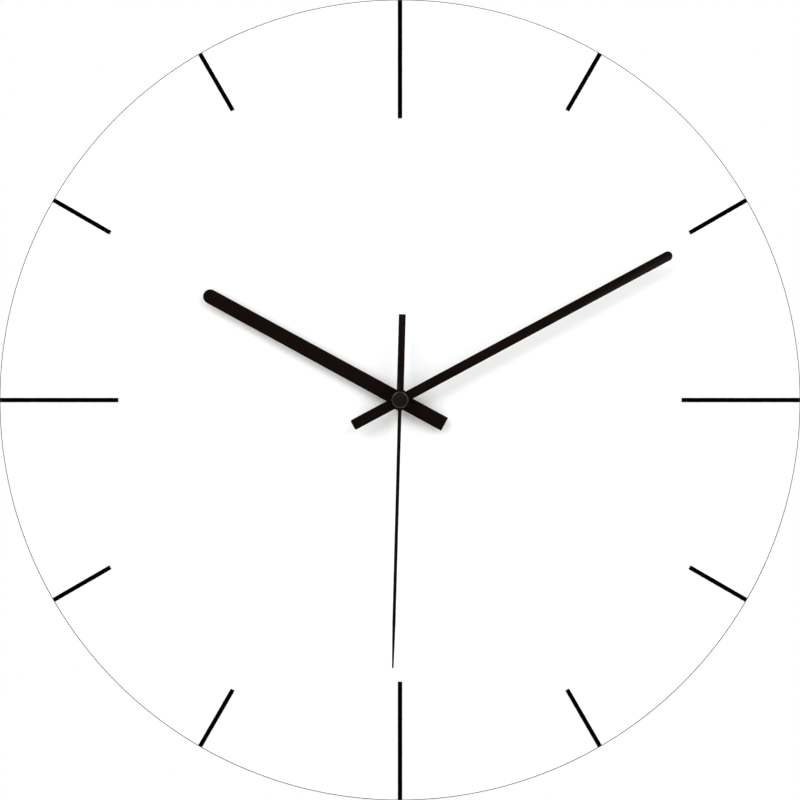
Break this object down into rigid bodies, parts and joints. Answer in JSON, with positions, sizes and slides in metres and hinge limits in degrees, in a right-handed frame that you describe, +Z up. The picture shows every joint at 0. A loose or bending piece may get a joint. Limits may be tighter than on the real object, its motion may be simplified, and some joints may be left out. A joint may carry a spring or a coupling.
{
  "type": "wall clock",
  "caption": "Round flat wall clock with a frameless white dial, straight black hour marks, slim black hands and a battery quartz movement with a keyhole hanger.",
  "frame": {"origin": "centre of the hanger's eye on the wall face, 35 mm above the spindle that the hands turn on", "axes": "+Z up, +Y into the wall, dial facing -Y, +X to the viewer's right"},
  "size_m": [0.3, 0.0286, 0.3],
  "materials": {
    "dial_acrylic": "smooth opal white acrylic with polished chamfered edges",
    "mark_ink": "matt black printed film",
    "hand_paint": "black satin paint on thin sheet",
    "hub_paint": "black painted turned hub",
    "bush_brass": "plain turned brass",
    "arbor_steel": "polished steel wire",
    "tube_brass": "turned brass",
    "gear_acetal_white": "moulded white acetal",
    "gear_acetal_natural": "moulded natural acetal",
    "magnet_ferrite": "dark sintered magnet",
    "knob_plastic": "black moulded plastic",
    "plate_plastic": "dark grey moulded plastic",
    "stator_steel": "stamped soft iron sheet",
    "core_steel": "stamped soft iron bar",
    "bobbin_plastic": "green moulded plastic",
    "winding_copper": "enamelled copper wire",
    "board_laminate": "brown paper laminate",
    "chip_resin": "black potting resin",
    "crystal_can": "tin-plated can",
    "battery_steel": "nickel-plated can",
    "battery_label": "plain printed sleeve",
    "battery_end": "nickel-plated end",
    "contact_nickel": "nickel-plated spring strip",
    "case_plastic": "black moulded plastic, fine texture",
    "tape_foam": "white closed-cell foam tape"
  },
  "bodies": {
    "case": {"dial_disc": "dial_acrylic", "quarter_marks": "mark_ink", "hour_marks": "mark_ink", "foam_tape": "tape_foam", "front_case": "case_plastic", "rear_case": "case_plastic", "middle_plate": "plate_plastic", "stator": "stator_steel", "coil_core": "core_steel", "coil_bobbin": "bobbin_plastic", "coil_winding": "winding_copper", "coil_leads": "winding_copper", "circuit_board": "board_laminate", "chip_blob": "chip_resin", "quartz_crystal": "crystal_can", "positive_contact": "contact_nickel", "negative_contact": "contact_nickel"},
    "rotor": {"rotor_pinion": "gear_acetal_natural", "rotor_magnet": "magnet_ferrite"},
    "intermediate": {"intermediate_wheel": "gear_acetal_natural"},
    "second": {"second_wheel": "gear_acetal_white", "second_arbor": "arbor_steel", "second_hand_hub": "hub_paint", "second_hand": "hand_paint"},
    "third": {"third_wheel": "gear_acetal_natural"},
    "minute": {"minute_wheel": "gear_acetal_natural", "minute_tube": "tube_brass", "minute_hand": "hand_paint", "minute_hand_bush": "bush_brass"},
    "motion": {"motion_wheel": "gear_acetal_white", "setting_knob": "knob_plastic"},
    "hour": {"hour_wheel": "gear_acetal_white", "hour_hand": "hand_paint", "hour_hand_bush": "bush_brass"},
    "battery": {"battery_can": "battery_steel", "battery_sleeve": "battery_label", "battery_base": "battery_end"}
  },
  "joints": [
    {"name": "second_turn", "type": "hinge", "parent": "case", "child": "second", "pos_m": [0, 0, -0.035], "axis": [0, 1, 0], "continuous": true},
    {"name": "rotor_turn", "type": "hinge", "parent": "case", "child": "rotor", "pos_m": [0.00514, 0, -0.02302], "axis": [0, 1, 0], "continuous": true},
    {"name": "intermediate_turn", "type": "hinge", "parent": "case", "child": "intermediate", "pos_m": [0.0036, 0, -0.02876], "axis": [0, 1, 0], "continuous": true},
    {"name": "third_turn", "type": "hinge", "parent": "case", "child": "third", "pos_m": [-0.00648, 0, -0.03264], "axis": [0, 1, 0], "continuous": true},
    {"name": "minute_turn", "type": "hinge", "parent": "case", "child": "minute", "pos_m": [0, 0, -0.035], "axis": [0, 1, 0], "continuous": true},
    {"name": "motion_turn", "type": "hinge", "parent": "case", "child": "motion", "pos_m": [0.00811, 0, -0.03717], "axis": [0, 1, 0], "continuous": true},
    {"name": "hour_turn", "type": "hinge", "parent": "case", "child": "hour", "pos_m": [0, 0, -0.035], "axis": [0, 1, 0], "continuous": true},
    {"name": "battery_slide", "type": "slide", "parent": "case", "child": "battery", "axis": [0, 1, 0], "range_m": [0, 0.022]}
  ],
  "couplings": [
    {"joint": "intermediate_turn", "follows": "second_turn", "ratio": -5},
    {"joint": "rotor_turn", "follows": "second_turn", "ratio": 30},
    {"joint": "third_turn", "follows": "second_turn", "ratio": -0.13333},
    {"joint": "minute_turn", "follows": "second_turn", "ratio": 0.016667},
    {"joint": "motion_turn", "follows": "second_turn", "ratio": -0.0069444},
    {"joint": "hour_turn", "follows": "second_turn", "ratio": 0.0013889}
  ]
}
